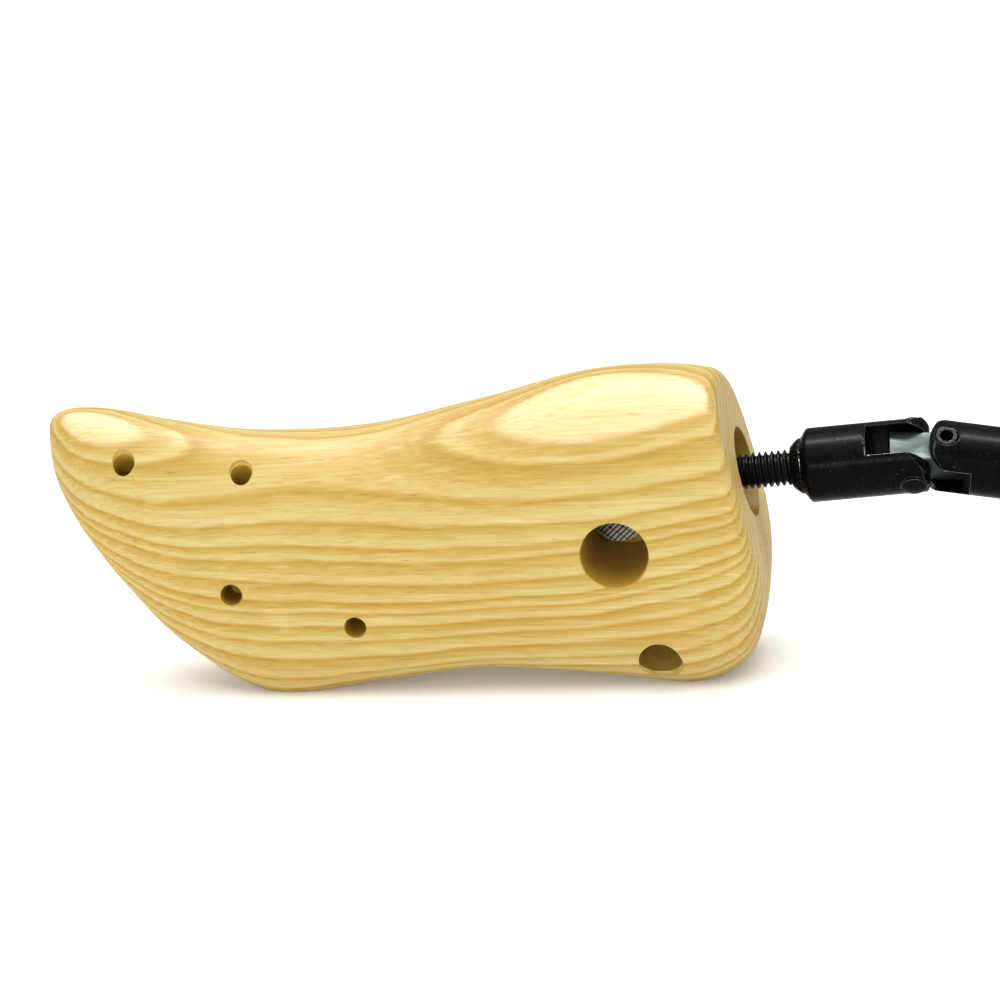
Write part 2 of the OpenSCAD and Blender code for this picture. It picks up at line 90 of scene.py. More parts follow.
BODY = local_frame((rod_start.x, 0, 0), (1, 0, 0), (0, 1, 0))
ROD = local_frame(rod_start, rod_axis, (0, 1, 0))
FIRST_PIN = local_frame(first_pin, rod_axis, first_axis)
BLOCK = local_frame(first_pin, second_pin - first_pin, first_axis)
SECOND_PIN = local_frame(second_pin, shaft_axis, second_axis.cross(shaft_axis))
BAR = local_frame(centre("t_bar"), shaft_axis, Vector((0, 0, 1)).cross(shaft_axis))

PIN_X = (first_pin - rod_start).length / MM
PIN_GAP = (second_pin - first_pin).length / MM
SHAFT_LEN = (centre("t_bar") - second_pin).length / MM

# ---- Sizes, in millimetres, as in the CAD model ----

LAST_LEN = 194
REAR_LEAN = math.radians(11)
REAR_EDGE = 3
SEAM_CHAMFER = 0.35
# Sections: distance from the rear face as a share of the length, then the heights of the top and
# the bottom, the reach of the instep side and of the sole side, and the crest's place
STATIONS = [
    [-1.006, 74.5, 72.0, 1.0, 0.8, -0.2],
    [-1.003, 77.0, 64.0, 5.0, 4.5, -1.5],
    [-0.991, 79.6, 57.0, 9.0, 7.5, -3.0],
    [-0.961, 81.0, 46.0, 13.5, 10.5, -4.5],
    [-0.907, 80.2, 31.0, 17.5, 13.5, -5.5],
    [-0.825, 76.7, 13.2, 21.0, 16.0, -6.5],
    [-0.701, 73.0, -1.4, 23.5, 18.0, -7.0],
    [-0.541, 73.3, 1.7, 26.0, 20.0, -7.0],
    [-0.387, 79.0, 5.0, 28.0, 22.0, -7.0],
    [-0.237, 85.6, 2.0, 29.0, 23.0, -7.0],
    [-0.134, 87.5, -1.2, 29.0, 23.0, -7.0],
    [-0.072, 87.2, 3.5, 28.5, 23.0, -7.0],
    [-0.036, 86.3, 12.0, 28.0, 22.5, -7.0],
    [-0.005, 84.7, 28.0, 27.0, 22.0, -7.0],
]
# The curve through the stations would rise a little above this
TOP_LIMIT = 87.45
# Height of a section's widest place, and how square it is above and below: 2 is an ellipse
WIDE_LEVEL = 0.44
TOP_ROUND = 2.4
LOW_ROUND = 3.0
# Height about which the sections lean, and the stretch where they come to lean fully
LEAN_HEIGHT = 54
LEAN_START = -70
LEAN_FULL = -8
# The least that an outline keeps of its width and height, and its gap from the seam's plane
LEAST = 0.2
SEAM_GAP = 0.02
RINGS_PER_STATION = 12
RINGS_AT_END = 20
POINTS_PER_RING = 84

PLUG_HOLE_R = 3
PLUG_HOLE_DEPTH = 14
PLUG_HOLE_POINT = 1.2
# A point at each mouth, and the elevation of the axis
PLUG_HOLES = [(-171.7, -17.4, 70.1, 45), (-138.6, -18.6, 66.5, 52),
              (-144.0, -23.1, 31.6, 5), (-109.6, -25.6, 21.8, 0)]
EDGE_HOLE = (-25.7, -25.6, 8.7, -42)
EDGE_HOLE_R = 6
EDGE_HOLE_DEPTH = 13
EDGE_HOLE_POINT = 1.5
ACCESS_HOLE_R = 9.35
ACCESS_HOLE_AT = (-35.5, 41.7)
REAR_BORE_R = 12.5
REAR_BORE_DEPTH = 27
SCREW_WAY_R = 6.5
SCREW_WAY_DEPTH = 99
HOLE_CHAMFER = 0.45
HOLE_STEPS = 96
# How far a cutter reaches past the seam, so that it cuts right through
PAST_SEAM = 1

# Pockets between the halves, in the screw's frame: their length along the screw and half width
POCKET_DEEP_END = -94.5
POCKET_TURN = -59.5
POCKET_MOUTH = -47
POCKET_HALF = 10
GUIDE_POCKET_DEPTH = 11.3
RAMP_ANGLE = math.radians(23.6)
RAMP_SLOPE = math.tan(RAMP_ANGLE)
# The rear end of the ramp plate's face, along the screw and out from its axis
RAMP_REAR_X = -74
RAMP_REAR_Y = 8.25
RAMP_PLATE = 2
# The bearing's lobe beside the screw, which takes the bolt to the barrel nut
LOBE = (0, 12, -11)
LOBE_R = 7.3
BEARING_START = -21.5
BEARING_END = -4.5

# The barrel nut stands this far towards the toe from the access hole's axis
NUT_OFFSET = 3
NUT_FACE = 5.4
NUT_END = 18.8
NUT_R = 8.2

SPRING_X = -62
SPRING_Z = 20
SPRING_PIN_Y = (-14, 12)
SPRING_WAY_R = 4.6

THREAD_R = 5
THREAD_PITCH = 1.75
THREAD_DEPTH = 1.05
THREAD_STEPS = 48
SCREW_START = -97
SCREW_END = 24

SLOT_HALF = 4.9
EAR_REACH = 4.5
EAR_CHAMFER = 1.4
SPINDLE_YOKE_R = 10.25
SPINDLE_NOSE = 11.5
SPINDLE_SLOT_FLOOR = 33
HANDLE_YOKE_R = 9.8
HANDLE_YOKE_LEN = 32
HANDLE_SLOT_DEPTH = 8
DOMED_PIN_R = 3.5
TUBULAR_PIN_R = 2.9
TUBULAR_PIN_BORE = 1.5
PIN_FIT = 0.05
BLOCK_HALF = 4.7
BLOCK_REACH = 5.4
BLOCK_NOSE = 1.4

SHAFT_R = 6
SHAFT_START = 14
HEAD_R = 8.5
HEAD_HALF = 11
HEAD_SOCKET = 4
BAR_R = 5
BAR_HALF = 46
GRIP_R = 10
GRIP_START = 14
GRIP_END = BAR_HALF + 3

# ---- Mesh helpers ----


def mesh_object(name, points, faces, frame_matrix):
    mesh = bpy.data.meshes.new(name)
    mesh.from_pydata([frame_matrix @ Vector(p) for p in points], [], faces)
    work = bmesh.new()
    work.from_mesh(mesh)
    bmesh.ops.recalc_face_normals(work, faces=work.faces)
    work.to_mesh(mesh)
    work.free()
    made = bpy.data.objects.new(name, mesh)
    bpy.context.scene.collection.objects.link(made)
    return made


def grid_faces(rows, columns):
    """Quads of a tube of rings: each ring is closed."""
    faces = []
    for i in range(rows - 1):
        for k in range(columns):
            near = i * columns + k
            side = i * columns + (k + 1) % columns
            faces.append((near, side, side + columns, near + columns))
    return faces


def lathe(name, profile, frame_matrix, axis="X", steps=96, at=(0, 0, 0), hollow=False):
    """Turned solid: profile is (along the axis, radius). A hollow profile is a closed loop."""
    points = []
    for along, radius in profile:
        for k in range(steps):
            a = math.tau * k / steps
            c = radius * math.cos(a)
            s = radius * math.sin(a)
            spot = {"X": (along, c, s), "Y": (s, along, c), "Z": (c, s, along)}[axis]
            points.append(Vector(spot) + Vector(at))
    faces = grid_faces(len(profile), steps)
    last = (len(profile) - 1) * steps
    if hollow:
        faces += [(k, (k + 1) % steps, last + (k + 1) % steps, last + k) for k in range(steps)]
    else:
        faces.append(tuple(range(steps)))
        faces.append(tuple(range(last, last + steps)))
    return mesh_object(name, points, faces, frame_matrix)


def rounded_bar(name, start, end, radius, edge, frame_matrix, axis="X", at=(0, 0, 0), steps=96):
    """Round bar whose ends have rounded edges."""
    turns = [math.radians(a) for a in (0, 22.5, 45, 67.5, 90)]
    left = [(start + edge * (1 - math.sin(a)), radius - edge * (1 - math.cos(a))) for a in turns]
    right = [(end - edge * (1 - math.sin(a)), radius - edge * (1 - math.cos(a))) for a in turns]
    profile = left[::-1] + right
    return lathe(name, profile, frame_matrix, axis, steps, at)


def block_solid(name, low, high, frame_matrix):
    corners = list(itertools.product(*zip(low, high)))
    faces = [(0, 1, 3, 2), (4, 6, 7, 5), (0, 4, 5, 1), (2, 3, 7, 6), (0, 2, 6, 4), (1, 5, 7, 3)]
    return mesh_object(name, corners, faces, frame_matrix)


def prism(name, outline, start, end, frame_matrix, axis="Z"):
    """Outline extruded along an axis; the outline is in XY for Z, and in XZ for Y."""
    order = {"Z": lambda u, v, w: (u, v, w), "Y": lambda u, v, w: (u, w, v)}[axis]
    count = len(outline)
    points = [order(u, v, w) for w in (start, end) for u, v in outline]
    faces = [tuple(range(count)), tuple(range(count, 2 * count))]
    faces += [(k, (k + 1) % count, count + (k + 1) % count, count + k) for k in range(count)]
    return mesh_object(name, points, faces, frame_matrix)


def tube(name, path, radius, frame_matrix, steps=12):
    """Round wire along a path, with flat ends."""
    spots = [Vector(p) for p in path]
    normal = Vector((0, 0, 1))
    points = []
    for i, spot in enumerate(spots):
        ahead = spots[min(i + 1, len(spots) - 1)] - spots[max(i - 1, 0)]
        tangent = ahead.normalized()
        normal = (normal - tangent * normal.dot(tangent)).normalized()
        side = tangent.cross(normal)
        for k in range(steps):
            a = math.tau * k / steps
            points.append(spot + radius * (math.cos(a) * normal + math.sin(a) * side))
    faces = grid_faces(len(spots), steps)
    last = (len(spots) - 1) * steps
    faces += [tuple(range(steps)), tuple(range(last, last + steps))]
    return mesh_object(name, points, faces, frame_matrix)


def settle(made):
    """Applies the object's modifiers."""
    bpy.context.view_layer.update()
    graph = bpy.context.evaluated_depsgraph_get()
    mesh = bpy.data.meshes.new_from_object(made.evaluated_get(graph), depsgraph=graph)
    made.modifiers.clear()
    made.data = mesh


def combine(made, tools, operation="DIFFERENCE"):
    """Boolean with each tool in turn; the tools are used up."""
    for tool in tools:
        step = made.modifiers.new("combine", "BOOLEAN")
        step.operation = operation
        step.solver = "EXACT"
        step.object = tool
        step.material_mode = "TRANSFER"
        settle(made)
        bpy.data.objects.remove(tool)


def round_edges(made, width, angle=35, segments=2, weld=False):
    """Rounded edges by a modifier, which leaves the vertices of a CAD node as they are."""
    if weld:
        joined = made.modifiers.new("weld", "WELD")
        joined.merge_threshold = 0.00001
    step = made.modifiers.new("bevel", "BEVEL")
    step.width = width * MM
    step.segments = segments
    step.limit_method = "ANGLE"
    step.angle_limit = math.radians(angle)
    step.use_clamp_overlap = True
    even = made.modifiers.new("normals", "WEIGHTED_NORMAL")
    even.keep_sharp = True


def finish_piece(made, body, material, nodes, angle=35):
    """Shades the piece, gives it a material, fixes it to its body and lets it stand for CAD nodes."""
    if made.data.materials:
        made.data.materials[0] = material
    else:
        made.data.materials.append(material)
    made.data.shade_smooth()
    made.data.set_sharp_from_angle(angle=math.radians(angle))
    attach(made, body)
    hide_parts(*nodes)


# ---- Material helpers ----


class Graph:
    """Short forms for building a material's nodes."""

    def __init__(self, name):
        self.material = bpy.data.materials.new(name)
        self.material.use_nodes = True
        self.tree = self.material.node_tree
        self.shader = self.tree.nodes["Principled BSDF"]

    def add(self, kind, inputs=None, **settings):
        node = self.tree.nodes.new(kind)
        for key, value in settings.items():
            setattr(node, key, value)
        for key, value in (inputs or {}).items():
            self.put(node.inputs[key], value)
        return node

    def put(self, socket, value):
        if isinstance(value, bpy.types.NodeSocket):
            self.tree.links.new(value, socket)
        else:
            socket.default_value = value

    def set(self, **inputs):
        for key, value in inputs.items():
            self.put(self.shader.inputs[key.replace("_", " ")], value)

    def math(self, operation, first, second=0.0, clamp=False):
        node = self.add("ShaderNodeMath", {0: first, 1: second}, operation=operation)
        node.use_clamp = clamp
        return node.outputs[0]

    def place(self):
        """Place on the piece, in metres."""
        return self.add("ShaderNodeTexCoord").outputs["Object"]

    def stretched(self, scale):
        """Place on the piece, in units that differ from axis to axis."""
        return self.add("ShaderNodeMapping", {"Vector": self.place(), "Scale": scale}).outputs[0]

    def noise(self, vector, scale=1.0, detail=2.0, roughness=0.5):
        settings = {"Vector": vector, "Scale": scale, "Detail": detail, "Roughness": roughness}
        return self.add("ShaderNodeTexNoise", settings).outputs["Fac"]

    def span(self, value, low, high, out_low=0.0, out_high=1.0):
        inputs = {"Value": value, "From Min": low, "From Max": high}
        inputs.update({"To Min": out_low, "To Max": out_high})
        return self.add("ShaderNodeMapRange", inputs).outputs[0]

    def mix(self, factor, first, second, blend="MIX"):
        node = self.add("ShaderNodeMix", data_type="RGBA", blend_type=blend)
        self.put(node.inputs[0], factor)
        self.put(node.inputs[6], first)
        self.put(node.inputs[7], second)
        return node.outputs[2]

    def ramp(self, value, stops):
        node = self.add("ShaderNodeValToRGB", {"Fac": value})
        elements = node.color_ramp.elements
        while len(elements) < len(stops):
            elements.new(0.5)
        for element, (position, colour) in zip(elements, stops):
            element.position = position
            element.color = colour
        return node.outputs["Color"]

    def bump(self, height, strength, distance):
        inputs = {"Height": height, "Strength": strength, "Distance": distance}
        self.set(Normal=self.add("ShaderNodeBump", inputs).outputs[0])

    def worn_edges(self, radius):
        """How far the surface turns within a small radius: high on sharp edges."""
        rounded = self.add("ShaderNodeBevel", {"Radius": radius}, samples=6).outputs[0]
        true = self.add("ShaderNodeNewGeometry").outputs["Normal"]
        same = self.add("ShaderNodeVectorMath", {0: rounded, 1: true}, operation="DOT_PRODUCT")
        return self.math("SUBTRACT", 1.0, same.outputs["Value"], clamp=True)


def rgb(red, green, blue):
    """Linear colour from the usual 0 to 255 values."""
    def linear(level):
        share = level / 255
        return share / 12.92 if share <= 0.04045 else ((share + 0.055) / 1.055) ** 2.4

    return (linear(red), linear(green), linear(blue), 1.0)


# ---- Materials ----

# The log's centre, behind the sole side and below the table, and how it runs off the X axis
PITH_Y = 67.6
PITH_Z = -18.0
PITH_SLOPE = 0.068
# Distances from the pith: where the first ring starts, and where the even peach wood does, whose pale
# tone is partly painted sheen
FIRST_RING = 47.7
PEACH_FROM = 131.2
# How far the rings wander, slowly and in fine ripples
WANDER = 0.8
RIPPLE = 0.2
# Widths of the growth rings, going outward
RING_WIDTHS = [4, 3, 3.5, 2.5, 4, 3, 3.5, 4, 2.5, 3, 4, 3.5, 2.5, 3, 3.5, 3,
               3.5, 2.5, 2, 1.75, 1.5, 2.5, 3, 1.75, 2.75, 3.5, 4.5, 2.25, 7, 7]


def ring_phase(graph):
    """Phase within a growth ring, from 0 just outside a boundary to 1 just inside the next,
    the number of the ring, and the distance from the pith."""
    place = graph.add("ShaderNodeSeparateXYZ", {"Vector": graph.place()})
    x, y, z = place.outputs
    along = graph.math("SUBTRACT", x, rod_start.x)
    lean = graph.math("MULTIPLY", along, PITH_SLOPE)
    across = graph.math("ADD", graph.math("SUBTRACT", y, PITH_Y * MM), lean)
    up = graph.math("SUBTRACT", z, PITH_Z * MM)
    squares = graph.math("ADD", graph.math("POWER", across, 2.0), graph.math("POWER", up, 2.0))
    radius = graph.math("SQRT", squares)
    wander = graph.noise(graph.stretched((14, 32, 32)), detail=2)
    radius = graph.math("ADD", radius, graph.span(wander, 0.25, 0.75, -WANDER * MM, WANDER * MM))
    ripple = graph.noise(graph.stretched((45, 500, 500)), detail=4, roughness=0.65)
    radius = graph.math("ADD", radius, graph.span(ripple, 0.2, 0.8, -RIPPLE * MM, RIPPLE * MM))
    total = sum(RING_WIDTHS)
    share = graph.span(radius, FIRST_RING * MM, (FIRST_RING + total) * MM)
    curve = graph.add("ShaderNodeFloatCurve", {"Value": share})
    line = curve.mapping.curves[0]
    reached = 0
    for number, width in enumerate(RING_WIDTHS[:-1], start=1):
        reached += width
        point = line.points.new(reached / total, number / len(RING_WIDTHS))
        point.handle_type = "VECTOR"
    for point in line.points:
        point.handle_type = "VECTOR"
    curve.mapping.update()
    number = graph.math("MULTIPLY", curve.outputs[0], float(len(RING_WIDTHS)))
    return graph.math("FRACT", number), graph.math("FLOOR", number), radius


def pine_material(name, bored=None):
    """Sawn pine with its growth rings. In a drilled wall they barely show through its colour."""
    graph = Graph(name)
    phase, number, radius = ring_phase(graph)
    tone = graph.add("ShaderNodeTexWhiteNoise", {"W": number}, noise_dimensions="1D").outputs["Value"]
    early = graph.ramp(phase, [
        (0.0, rgb(185, 157, 80)), (0.11, rgb(197, 177, 110)), (0.32, rgb(195, 174, 106)),
        (0.47, rgb(185, 159, 80)), (0.78, rgb(180, 151, 69)), (0.88, rgb(173, 140, 54)),
        (0.93, rgb(173, 140, 54)), (1.0, rgb(185, 157, 80))])
    pale = graph.ramp(phase, [
        (0.0, rgb(188, 163, 88)), (0.12, rgb(200, 181, 120)), (0.58, rgb(197, 176, 110)),
        (0.78, rgb(187, 162, 85)), (0.9, rgb(178, 148, 65)), (1.0, rgb(188, 163, 88))])
    colour = graph.mix(graph.span(tone, 0.1, 1.0, 0.0, 0.8), early, pale)
    # The outermost wood is an even peach, made paler in part as painted sheen on the top
    outermost = graph.span(radius, PEACH_FROM * MM, (PEACH_FROM + 1) * MM)
    colour = graph.mix(outermost, colour, rgb(222, 200, 150))
    # Broad blotches of warmer wood
    blotch = graph.noise(graph.stretched((11, 40, 40)), detail=3)
    share = graph.span(blotch, 0.4, 0.75, 0.0, 0.35)
    colour = graph.mix(share, colour, rgb(240, 207, 130), "MULTIPLY")
    # Fine dark and pale fibres along the log
    fibre = graph.noise(graph.stretched((38, 1500, 1500)), detail=4, roughness=0.6)
    share = graph.span(fibre, 0.42, 0.72, 0.0, 0.42)
    colour = graph.mix(share, colour, rgb(214, 182, 108), "MULTIPLY")
    light = graph.noise(graph.stretched((26, 900, 900)), detail=2)
    colour = graph.mix(graph.span(light, 0.54, 0.74, 0.0, 0.14), colour, rgb(244, 232, 190))
    # Short dark flecks where resin canals are cut
    fleck = graph.noise(graph.stretched((130, 1500, 1500)), detail=1)
    share = graph.span(fleck, 0.69, 0.78, 0.0, 0.4)
    colour = graph.mix(share, colour, rgb(190, 150, 78), "MULTIPLY")
    if bored:
        colour = graph.mix(0.85, colour, rgb(*bored))
    graph.set(Base_Color=colour, Specular_IOR_Level=0.3)
    graph.set(Roughness=graph.span(fibre, 0.3, 0.7, 0.5, 0.66))
    graph.bump(fibre, 0.12, 0.0001)
    return graph.material


def black_steel_material(name, base=(3, 4, 4), worn=(112, 118, 116), gloss=0.26):
    """Chemically blackened steel, worn to bare metal in specks and along its edges."""
    graph = Graph(name)
    grain = graph.noise(graph.place(), scale=900, detail=4)
    cloud = graph.noise(graph.place(), scale=120, detail=3)
    colour = graph.mix(graph.span(cloud, 0.35, 0.7), rgb(*base), rgb(*(v + 5 for v in base)))
    speck = graph.noise(graph.stretched((1300, 1300, 1300)), detail=2)
    specks = graph.math("MULTIPLY", graph.span(speck, 0.68, 0.76), graph.span(cloud, 0.45, 0.6))
    edge = graph.math("MULTIPLY", graph.worn_edges(0.0003), graph.span(grain, 0.3, 0.62, 0.4, 1.0))
    edge = graph.span(edge, 0.02, 0.2)
    bare = graph.math("MAXIMUM", graph.math("MULTIPLY", specks, 0.5), edge)
    colour = graph.mix(bare, colour, rgb(*worn))
    graph.set(Base_Color=colour, Specular_IOR_Level=0.03)
    graph.set(Metallic=graph.span(bare, 0.0, 1.0, 0.0, 0.85))
    graph.set(Roughness=graph.span(grain, 0.3, 0.7, gloss - 0.05, gloss + 0.1))
    graph.bump(graph.math("ADD", grain, graph.math("MULTIPLY", cloud, 0.5)), 0.12, 0.00008)
    return graph.material


def bright_steel_material(name, colour=(150, 158, 154), rough=0.3, metal=0.95):
    """Machined steel with fine tool lines and a few stains."""
    graph = Graph(name)
    lines = graph.noise(graph.stretched((60, 2600, 60)), detail=3)
    stain = graph.noise(graph.place(), scale=210, detail=4)
    darker = tuple(int(v * 0.72) for v in colour)
    tint = graph.mix(graph.span(stain, 0.42, 0.7, 0.0, 0.6), rgb(*colour), rgb(*darker))
    edge = graph.span(graph.worn_edges(0.00025), 0.05, 0.35)
    tint = graph.mix(graph.math("MULTIPLY", edge, 0.6), tint, rgb(214, 219, 215))
    graph.set(Base_Color=tint, Metallic=graph.span(stain, 0.3, 0.7, metal, metal - 0.2))
    graph.set(Roughness=graph.span(lines, 0.3, 0.7, rough, rough + 0.16))
    graph.bump(lines, 0.2, 0.00005)
    return graph.material


def bronze_material(name):
    """Turned bronze, tarnished in patches."""
    graph = Graph(name)
    stain = graph.noise(graph.place(), scale=260, detail=4)
    colour = graph.mix(graph.span(stain, 0.35, 0.7), rgb(190, 150, 92), rgb(140, 98, 52))
    graph.set(Base_Color=colour, Metallic=graph.span(stain, 0.3, 0.7, 0.95, 0.8))
    graph.set(Roughness=graph.span(stain, 0.3, 0.7, 0.28, 0.46))
    graph.bump(stain, 0.12, 0.00005)
    return graph.material


def plastic_material(name):
    """Moulded black plastic with a fine spark-eroded grain, polished where hands rub it."""
    graph = Graph(name)
    grain = graph.noise(graph.place(), scale=1600, detail=3)
    wear = graph.noise(graph.place(), scale=70, detail=3)
    colour = graph.mix(graph.span(wear, 0.4, 0.7), rgb(24, 24, 25), rgb(36, 36, 37))
    graph.set(Base_Color=colour)
    graph.set(Roughness=graph.span(wear, 0.35, 0.7, 0.55, 0.4))
    graph.bump(grain, 0.35, 0.00012)
    return graph.material


PINE = pine_material("pine_faces")
PINE_DRILLED = pine_material("pine_drilled", bored=(182, 144, 40))
# The lower rear hole's wall is painted darker than the other holes, as painted shade
PINE_PAINTED_SHADE_HOLE = pine_material("pine_painted_shade", bored=(128, 98, 30))
BLACK_STEEL = black_steel_material("black_steel_worn")
THREAD_STEEL = black_steel_material("black_steel_thread", (4, 4, 4), (60, 60, 56), gloss=0.38)
BRIGHT_STEEL = bright_steel_material("bright_steel_machined")
BLOCK_STEEL = bright_steel_material("bright_steel_block", colour=(50, 56, 53), rough=0.38)
NUT_STEEL = bright_steel_material("bright_steel_nut", colour=(246, 247, 232), rough=0.5, metal=0.2)
SPRING_STEEL = bright_steel_material("spring_steel_drawn", colour=(122, 124, 128), rough=0.26)
BRONZE = bronze_material("bronze_turned")
PLASTIC = plastic_material("black_plastic_grained")

# ---- Last ----


def spline(a, b, c, d, u):
    return 0.5 * (2 * b + u * (c - a + u * (2 * a - 5 * b + 4 * c - d + u * (3 * b - a - 3 * c + d))))


def station(t):
    last = len(STATIONS) - 1
    i = min(int(t), last - 1)
    here, ahead = STATIONS[i], STATIONS[i + 1]
    before = [2 * p - q for p, q in zip(here, ahead)] if i == 0 else STATIONS[i - 1]
    after = [2 * q - p for p, q in zip(here, ahead)] if i == last - 1 else STATIONS[i + 2]
    return [spline(*values, t - i) for values in zip(before, here, ahead, after)]


def power(value, exponent):
    return math.copysign(abs(value) ** exponent, value)


def half_section(row, side):
    """One ring of a half, from the top of the seam round the outside to the bottom of the seam."""
    share, top, low, near, far, crest = row
    top = min(top, TOP_LIMIT)
    x = share * LAST_LEN
    rear = STATIONS[-1][0] * LAST_LEN
    into_edge = min(REAR_EDGE, max(0.0, x - rear + REAR_EDGE))
    inset = REAR_EDGE - math.sqrt(REAR_EDGE ** 2 - into_edge ** 2)
    wide_z = low + WIDE_LEVEL * (top - low)
    u = min(1.0, max(0.0, (x - LEAN_START) / (LEAN_FULL - LEAN_START)))
    lean = u * u * (3 - 2 * u) * math.tan(REAR_LEAN)
    far_w = max(LEAST, far - crest - inset)
    near_w = max(LEAST, near + crest - inset)

    def on_curve(a):
        exponent = 2 / (TOP_ROUND if math.sin(a) > 0 else LOW_ROUND)
        height = top - wide_z if math.sin(a) > 0 else wide_z - low
        width = far_w if math.cos(a) > 0 else near_w
        z = wide_z + max(LEAST, height - inset) * power(math.sin(a), exponent)
        return crest + width * power(math.cos(a), exponent), max(0.0, z)

    def seam_angle(roundness):
        reach = side * SEAM_CHAMFER - crest
        width = far_w if reach > 0 else near_w
        return math.acos(max(-1.0, min(1.0, power(reach / width, roundness / 2))))

    first = seam_angle(TOP_ROUND)
    final = -seam_angle(LOW_ROUND) if side > 0 else math.tau - seam_angle(LOW_ROUND)
    steps = POINTS_PER_RING - 1
    outline = [on_curve(first + (final - first) * k / steps) for k in range(POINTS_PER_RING)]
    top_corner = (side * SEAM_GAP, outline[0][1] - SEAM_CHAMFER)
    low_corner = (side * SEAM_GAP, outline[-1][1] + SEAM_CHAMFER)
    return [(x - lean * (z - LEAN_HEIGHT), y, z) for y, z in [top_corner] + outline + [low_corner]]


def half_blank(name, side):
    """Half of the last before drilling: a skin over its sections, flat along the seam."""
    last = len(STATIONS) - 1
    steps = [i / RINGS_PER_STATION for i in range((last - 1) * RINGS_PER_STATION)]
    steps += [last - 1 + math.sin(math.pi / 2 * i / RINGS_AT_END) for i in range(RINGS_AT_END + 1)]
    rings = [half_section(station(t), side) for t in steps]
    columns = len(rings[0])
    points = [p for ring in rings for p in ring]
    end = (len(rings) - 1) * columns
    faces = grid_faces(len(rings), columns)
    faces += [tuple(range(columns)), tuple(range(end, end + columns))]
    made = mesh_object(name, points, faces, BODY)
    made.data.materials.append(PINE)
    return made


def cutter(made):
    made.data.materials.append(PINE_DRILLED)
    return made


def bore(start, end, radius, frame_matrix, axis="X", at=(0, 0, 0), steps=96):
    return cutter(lathe("bore", [(start, radius), (end, radius)], frame_matrix, axis, steps, at))


def round_hole(blank, at, elevation, radius, depth, point=0.0, wall=PINE_DRILLED):
    """Cutter for a hole on the instep side, with the broken edge of its mouth."""
    tilt = Matrix.Rotation(math.radians(-elevation), 4, "X")
    hole = BODY @ Matrix.Translation(at) @ tilt
    surface = BVHTree.FromObject(blank, bpy.context.evaluated_depsgraph_get())
    outward = (hole.to_3x3() @ Vector((0, -1, 0))).normalized()
    hit = surface.ray_cast(hole @ Vector((0, -15, 0)), -outward)[0]
    mouth = (hole.inverted() @ hit).y
    outside = 4
    profile = [(mouth - outside, radius + HOLE_CHAMFER + 0.1 * outside)]
    profile += [(mouth, radius + 0.7 * HOLE_CHAMFER), (mouth + HOLE_CHAMFER, radius), (depth, radius)]
    if point:
        profile.append((depth + point, 0.1 * radius))
    made = lathe("hole", profile, hole, "Y", HOLE_STEPS)
    made.data.materials.append(wall)
    made.data.materials.append(PINE)
    # The two bands round the mouth are as pale as the face
    for face in made.data.polygons[:2 * HOLE_STEPS]:
        face.material_index = 1
    return made


def screw_way():
    """The wide bore in the rear face, and the narrower way on to the wedge."""
    return [bore(-REAR_BORE_DEPTH, 30, REAR_BORE_R, ROD),
            bore(-SCREW_WAY_DEPTH, -20, SCREW_WAY_R, ROD, steps=64)]


def hinge_pocket(side):
    """Room for the toe hinge's pin and for one of its leaves."""
    low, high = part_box("hinge_pin")
    z = (low.z / MM - 0.4, high.z / MM + 0.4)
    x = ((low.x + high.x) / 2 - rod_start.x) / MM
    leaf_end = (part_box("hinge_leaf_sole")[1].x - rod_start.x) / MM
    leaf = sorted((side * 1.6, -side * PAST_SEAM))
    low = (x, leaf[0], z[0])
    high = (leaf_end + 0.3, leaf[1], z[1])
    return [bore(z[0], z[1], 3.2, BODY, "Z", (x, 0, 0), 48), cutter(block_solid("leaf", low, high, BODY))]


def spring_way(side, far, pin_y):
    """Bore for half of the return spring, and the hole of the pin that holds its hook."""
    start, end = sorted((side * far, -side * PAST_SEAM))
    return [bore(start, end, SPRING_WAY_R, BODY, "Y", (SPRING_X, 0, SPRING_Z), 48),
            bore(-5, SPRING_Z + 6, 1.5, BODY, "Z", (SPRING_X, pin_y, 0), 32)]


def ramp_y(x):
    """Distance of the ramp plate's face from the screw's axis, at a place along the screw."""
    return RAMP_REAR_Y + (RAMP_REAR_X - x) * RAMP_SLOPE


def wedge_pocket():
    plate = RAMP_PLATE / math.cos(RAMP_ANGLE)
    deep, shallow = [(x, -ramp_y(x) - plate) for x in (POCKET_DEEP_END, POCKET_TURN)]
    outline = [(POCKET_DEEP_END, PAST_SEAM), deep, shallow, (POCKET_MOUTH, -1), (POCKET_MOUTH, PAST_SEAM)]
    return cutter(prism("wedge_pocket", outline, -POCKET_HALF, POCKET_HALF, ROD))


def guide_pocket():
    low = (POCKET_DEEP_END, -PAST_SEAM, -POCKET_HALF)
    high = (POCKET_MOUTH, GUIDE_POCKET_DEPTH, POCKET_HALF)
    return cutter(block_solid("guide_pocket", low, high, ROD))


def bearing_pocket():
    low = (BEARING_START, -PAST_SEAM, LOBE[2] - LOBE_R)
    high = (BEARING_END, LOBE[1], LOBE[2] + LOBE_R)
    return [bore(BEARING_START, BEARING_END, LOBE_R, ROD, "X", LOBE, 64),
            bore(-51, BEARING_START + 1, 3.3, ROD, "X", LOBE, 48),
            cutter(block_solid("bearing_slot", low, high, ROD))]


def toe_relief():
    """Thin wedge off the toe's seam, so that the halves can turn about the hinge."""
    x = -188
    outline = [(x, 1), (x - 20, 1), (x - 20, -1.9), (x, -0.1)]
    return cutter(prism("toe_relief", outline, 0, 120, BODY))


